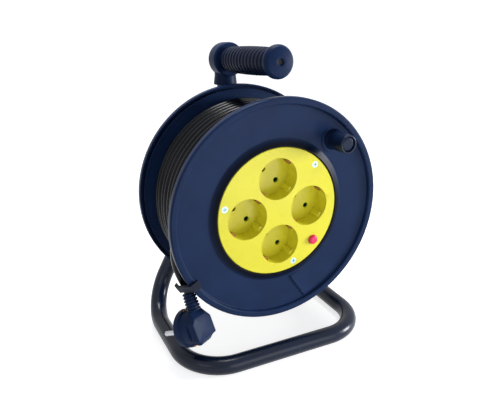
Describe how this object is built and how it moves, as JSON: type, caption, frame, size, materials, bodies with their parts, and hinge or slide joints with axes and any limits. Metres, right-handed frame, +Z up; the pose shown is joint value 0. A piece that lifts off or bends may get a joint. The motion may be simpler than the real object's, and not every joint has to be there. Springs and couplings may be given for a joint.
{
  "type": "extension cord reel",
  "caption": "Cable drum with earthed sockets and a reset button on its face, turning on a bent tube stand with a carrying handle, wound with cable that ends in a plug.",
  "frame": {"origin": "on the floor, below the middle of the object's plan, leaving out the cable's free end and its plug", "axes": "+Z up, +Y along the axle from the socket side to the stand's bracket, +X to the right as seen from the socket side"},
  "size_m": [0.2244, 0.1644, 0.3038],
  "materials": {
    "drum_plastic": "fine satin moulded plastic, navy black",
    "bracket_plastic": "satin moulded plastic",
    "tube_paint": "gloss stove enamel, navy black",
    "handle_plastic": "satin moulded plastic",
    "grip_rubber": "matt ribbed rubber",
    "knob_plastic": "smooth moulded plastic",
    "clip_plastic": "satin moulded plastic",
    "cable_sheath": "smooth flexible sheath",
    "plug_rubber": "satin moulded rubber",
    "plate_yellow": "smooth moulded plastic",
    "button_red": "smooth moulded plastic",
    "zinc": "zinc plated",
    "axle_steel": "turned steel",
    "brass": "drawn brass strip",
    "pin_nickel": "nickel plated",
    "insulator": "moulded insulating plastic",
    "wire_insulation": "smooth insulation"
  },
  "bodies": {
    "stand": {"base_frame": "tube_paint", "handle_post": "tube_paint", "bracket_front": "bracket_plastic", "bracket_rear": "bracket_plastic", "bracket_bolts": "zinc", "bracket_nuts": "zinc", "bracket_screws": "zinc", "axle": "axle_steel", "axle_washer": "zinc", "axle_nut": "zinc", "retaining_ring": "axle_steel", "front_washer": "zinc", "rear_washer": "zinc", "handle_core": "handle_plastic", "handle_pin": "zinc", "grip_sleeve": "grip_rubber", "grip_cap": "handle_plastic", "grip_screw": "zinc", "cable_tail": "cable_sheath", "plug_boot": "plug_rubber", "plug_body": "plug_rubber", "plug_cover": "plug_rubber", "plug_pins": "pin_nickel", "plug_earth": "brass"},
    "drum": {"front_flange": "drum_plastic", "rear_flange": "drum_plastic", "barrel": "drum_plastic", "cable_core": "cable_sheath", "cable_winding": "cable_sheath", "flange_screws": "zinc", "front_bush": "brass", "rear_bush": "brass", "cable_clip": "clip_plastic", "socket_plate": "plate_yellow", "plate_screws": "zinc", "earth_clips": "brass", "earth_ring": "brass", "live_sleeves": "brass", "neutral_sleeves": "brass", "live_bar": "brass", "neutral_bar": "brass", "contact_carrier": "insulator", "carrier_screw": "zinc", "terminal_block": "insulator", "thermal_breaker": "insulator", "button_spring": "axle_steel", "cord_gland": "insulator", "inner_lead": "cable_sheath", "lead_wires": "wire_insulation", "knob_pin": "zinc"},
    "knob": {"knob": "knob_plastic", "knob_cap": "knob_plastic"},
    "button": {"reset_button": "button_red"}
  },
  "joints": [
    {"name": "drum", "type": "hinge", "parent": "stand", "child": "drum", "pos_m": [0, 0, 0.15], "axis": [0, 1, 0], "continuous": true},
    {"name": "knob", "type": "hinge", "parent": "drum", "child": "knob", "pos_m": [0.05875, -0.06725, 0.21525], "axis": [0, 1, 0], "continuous": true},
    {"name": "button", "type": "slide", "parent": "drum", "child": "button", "axis": [0, 1, 0], "range_m": [0, 0.0025], "stiffness_N_per_m": 300, "springref_m": -0.002, "deforming": ["button_spring"]}
  ]
}
